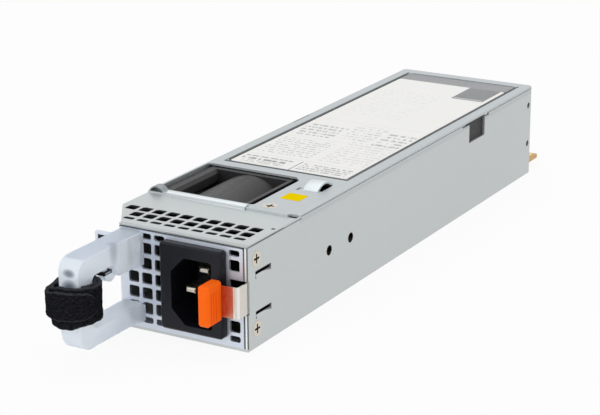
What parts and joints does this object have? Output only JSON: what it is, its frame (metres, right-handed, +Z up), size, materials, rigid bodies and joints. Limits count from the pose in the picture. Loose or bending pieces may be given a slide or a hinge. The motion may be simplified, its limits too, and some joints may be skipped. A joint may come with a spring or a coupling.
{
  "type": "hot swap server power supply",
  "caption": "Slim hot swap server power supply with a vented nose, mains inlet, spring latch, fixed pull handle, inner fan and a rear card-edge connector.",
  "frame": {"origin": "centre of the case's bottom face", "axes": "+X to the right as seen from the handle's end, +Y along the case from the front plate to the rear edge connector, +Z up"},
  "size_m": [0.0624, 0.2949, 0.0412],
  "materials": {
    "zinc_steel": "zinc-plated sheet",
    "black_plastic": "fine moulded texture",
    "clear_plastic": "translucent, frosted",
    "strap_weave": "hook-and-loop weave",
    "nickel": "nickel-plated",
    "board_green": "solder mask",
    "spring_steel": "bright cold-rolled",
    "orange_plastic": "satin moulded",
    "lamination": "stacked sheet",
    "ferrite": "sintered",
    "brass_metal": "turned",
    "gold_plate": "plated",
    "black_film": "thin sheet",
    "sleeve_black": "shrink sleeve",
    "copper_wire": "enamelled winding",
    "copper_bar": "bare bar",
    "bare_aluminium": "extruded",
    "tape_yellow": "wound tape",
    "capacitor_yellow": "moulded box",
    "ceramic_white": "tube"
  },
  "bodies": {
    "case": {"case_tray": "zinc_steel", "nose_cover": "zinc_steel", "top_cover": "zinc_steel", "front_plate": "zinc_steel", "key_pad": "black_plastic", "handle": "clear_plastic", "cable_strap": "strap_weave", "strap_clip": "black_plastic", "inlet_housing": "black_plastic", "inlet_blades": "nickel", "inlet_board": "board_green", "latch_spring_tail": "spring_steel", "latch_rivets": "nickel", "side_screws": "nickel", "cover_screw": "nickel", "cover_post": "nickel", "fan_frame": "black_plastic", "fan_bearings": "spring_steel", "fan_motor_mount": "black_plastic", "fan_stator": "lamination", "main_board": "board_green", "board_standoffs": "brass_metal", "board_screws": "nickel", "edge_contacts": "gold_plate", "insulation_film": "black_film", "bulk_capacitors": "sleeve_black", "boost_choke": "copper_wire", "primary_heatsink": "bare_aluminium", "power_transistors": "black_plastic", "transformer_core": "ferrite", "transformer_winding": "tape_yellow", "secondary_heatsink": "bare_aluminium", "bus_bars": "copper_bar", "output_capacitors": "bare_aluminium", "control_board": "board_green", "control_chips": "black_plastic", "filter_choke": "copper_wire", "filter_capacitors": "capacitor_yellow", "relay": "black_plastic", "bridge_rectifier": "black_plastic", "fuse": "ceramic_white", "standby_transformer": "tape_yellow", "resonant_choke": "ferrite"},
    "latch": {"latch_spring": "spring_steel", "latch_grip": "orange_plastic"},
    "rotor": {"fan_rotor": "black_plastic", "fan_shaft": "spring_steel", "fan_magnet": "ferrite"}
  },
  "joints": [
    {"name": "fan_spin", "type": "hinge", "parent": "case", "child": "rotor", "pos_m": [-0.0096, -0.059, 0.01945], "axis": [0, 1, 0], "continuous": true},
    {"name": "latch_flex", "type": "hinge", "parent": "case", "child": "latch", "pos_m": [0.02975, -0.068, 0.0194], "axis": [0, 0, -1], "range_deg": [0, 2.8], "stiffness_Nm_per_rad": 0.6}
  ]
}
